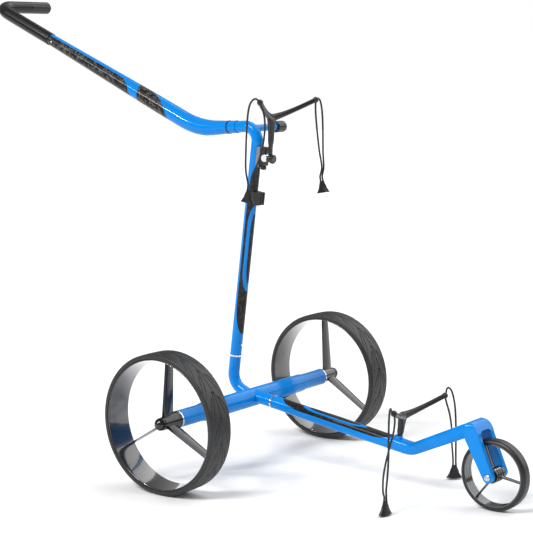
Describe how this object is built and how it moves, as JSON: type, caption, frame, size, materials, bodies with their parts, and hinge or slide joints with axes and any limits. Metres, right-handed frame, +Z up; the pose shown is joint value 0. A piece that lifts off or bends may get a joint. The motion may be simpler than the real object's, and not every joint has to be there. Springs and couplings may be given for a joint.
{
  "type": "three-wheel golf trolley",
  "caption": "Wheeled golf trolley with a mast and cranked handle, a forked front arm and Y-shaped cradles with elastic cords that hold a golf bag.",
  "frame": {"origin": "on the floor, under the middle of the trolley's length and width", "axes": "+X towards the front wheel, +Y to the trolley's left, where the hand grip points, +Z up"},
  "size_m": [1.453, 0.628, 1.014],
  "materials": {
    "blue_paint": "high-gloss azure lacquer on aluminium tube",
    "black_carbon": "gloss black moulding with a carbon look",
    "tread_rubber": "matt tread rubber with shallow swept grooves",
    "black_plastic": "satin black moulded plastic",
    "chrome": "polished",
    "aluminium": "satin anodised",
    "steel": "bright turned",
    "grip_foam": "soft matt sleeve",
    "elastic": "braided elastic cord, dark"
  },
  "bodies": {
    "chassis": {"axle_tube": "blue_paint", "gear_motor_left": "steel", "gear_motor_right": "steel", "axle_bearing_left": "steel", "axle_bearing_right": "steel", "axle_end_cap_left": "black_plastic", "axle_end_cap_right": "black_plastic", "axle_trim_ring_left": "chrome", "axle_trim_ring_right": "chrome", "mast_stub": "blue_paint", "mast_joint_ring": "steel", "front_neck": "blue_paint", "arm_joint_ring": "steel"},
    "left_shaft": {"drive_shaft_left": "steel"},
    "right_shaft": {"drive_shaft_right": "steel"},
    "left_wheel": {"rear_tyre_left": "tread_rubber", "rear_rim_left": "black_carbon", "rear_hub_spokes_left": "black_carbon"},
    "right_wheel": {"rear_tyre_right": "tread_rubber", "rear_rim_right": "black_carbon", "rear_hub_spokes_right": "black_carbon"},
    "left_cap": {"release_cap_left": "black_carbon"},
    "right_cap": {"release_cap_right": "black_carbon"},
    "mast": {"mast_tube": "blue_paint", "handle_coupling": "blue_paint", "handle_joint_ring": "black_plastic", "bracket_plate": "aluminium", "hinge_seat": "black_plastic", "mast_bumper": "black_plastic", "accessory_holder": "blue_paint", "accessory_screw": "steel"},
    "mast_button": {"snap_button": "steel"},
    "lock_knob": {"height_lock_knob": "black_plastic"},
    "side_cap": {"accessory_cap": "black_plastic"},
    "handle": {"handle_arm": "blue_paint", "hand_grip": "grip_foam", "handle_rivet": "steel", "speed_potentiometer": "black_plastic"},
    "dial": {"speed_dial": "black_plastic"},
    "top_cradle": {"upper_cradle": "black_plastic", "swivel_barrel": "chrome"},
    "clamp_knob": {"cradle_knob": "black_plastic"},
    "top_cord_right": {"cord_upper_right": "elastic", "hook_upper_right": "black_plastic"},
    "top_cord_left": {"cord_upper_left": "elastic", "hook_upper_left": "black_plastic"},
    "arm": {"front_arm": "blue_paint", "front_fork": "blue_paint", "front_axle_bolt": "steel", "front_axle_nut": "steel"},
    "front_wheel": {"front_tyre": "tread_rubber", "front_rim": "black_carbon", "front_hub_spokes": "black_carbon", "front_wheel_bush": "steel"},
    "bottom_cradle": {"lower_cradle": "black_plastic", "cord_lower_right": "elastic", "cord_lower_left": "elastic", "hook_lower_right": "black_plastic", "hook_lower_left": "black_plastic"}
  },
  "joints": [
    {"name": "left_drive", "type": "hinge", "parent": "chassis", "child": "left_shaft", "pos_m": [0.06166, 0.25, 0.145], "axis": [0, 1, 0], "continuous": true},
    {"name": "right_drive", "type": "hinge", "parent": "chassis", "child": "right_shaft", "pos_m": [0.06166, -0.25, 0.145], "axis": [0, 1, 0], "continuous": true},
    {"name": "left_wheel_pull", "type": "slide", "parent": "left_shaft", "child": "left_wheel", "axis": [0, 1, 0], "range_m": [0, 0.05]},
    {"name": "right_wheel_pull", "type": "slide", "parent": "right_shaft", "child": "right_wheel", "axis": [0, -1, 0], "range_m": [0, 0.05]},
    {"name": "left_release", "type": "slide", "parent": "left_wheel", "child": "left_cap", "axis": [0, -1, 0], "range_m": [0, 0.002], "stiffness_N_per_m": 1500, "springref_m": -0.002},
    {"name": "right_release", "type": "slide", "parent": "right_wheel", "child": "right_cap", "axis": [0, 1, 0], "range_m": [0, 0.002], "stiffness_N_per_m": 1500, "springref_m": -0.002},
    {"name": "mast_lift", "type": "slide", "parent": "chassis", "child": "mast", "axis": [0.1374, 0, 0.9905], "range_m": [0, 0.06]},
    {"name": "button_press", "type": "slide", "parent": "mast", "child": "mast_button", "axis": [-0.9905, 0, 0.1374], "range_m": [0, 0.0012], "stiffness_N_per_m": 1500, "springref_m": -0.001},
    {"name": "lock_knob_turn", "type": "hinge", "parent": "mast", "child": "lock_knob", "pos_m": [0.09678, 0, 0.64706], "axis": [0.1374, 0, 0.9905], "range_deg": [0, 360]},
    {"name": "side_cap_pull", "type": "slide", "parent": "mast", "child": "side_cap", "axis": [0, 1, 0], "range_m": [0, 0.02]},
    {"name": "handle_pull", "type": "slide", "parent": "mast", "child": "handle", "axis": [-0.9982, 0, -0.0593], "range_m": [0, 0.045]},
    {"name": "dial_turn", "type": "hinge", "parent": "handle", "child": "dial", "pos_m": [-0.70847, 0.139, 0.99945], "axis": [0, 1, 0], "range_deg": [-135, 135]},
    {"name": "cradle_tilt", "type": "hinge", "parent": "mast", "child": "top_cradle", "pos_m": [0.10477, 0, 0.66614], "axis": [0, 1, 0], "range_deg": [-10, 30]},
    {"name": "clamp_knob_turn", "type": "hinge", "parent": "top_cradle", "child": "clamp_knob", "pos_m": [0.10477, 0, 0.66614], "axis": [0.9905, 0, -0.1374], "range_deg": [0, 360]},
    {"name": "cord_hang_right", "type": "hinge", "parent": "top_cradle", "child": "top_cord_right", "pos_m": [0.16347, -0.0965, 0.78592], "axis": [0, 1, 0], "range_deg": [-30, 10]},
    {"name": "cord_hang_left", "type": "hinge", "parent": "top_cradle", "child": "top_cord_left", "pos_m": [0.16347, 0.0965, 0.78592], "axis": [0, 1, 0], "range_deg": [-30, 10]},
    {"name": "arm_pull", "type": "slide", "parent": "chassis", "child": "arm", "axis": [0.9903, 0, -0.1392], "range_m": [0, 0.06]},
    {"name": "front_wheel_roll", "type": "hinge", "parent": "arm", "child": "front_wheel", "pos_m": [0.65896, 0, 0.071], "axis": [0, 1, 0], "continuous": true},
    {"name": "cradle_lift", "type": "slide", "parent": "arm", "child": "bottom_cradle", "axis": [0, 0, 1], "range_m": [0, 0.022]}
  ],
  "couplings": [
    {"joint": "cord_hang_right", "follows": "cradle_tilt", "ratio": -1},
    {"joint": "cord_hang_left", "follows": "cradle_tilt", "ratio": -1}
  ]
}
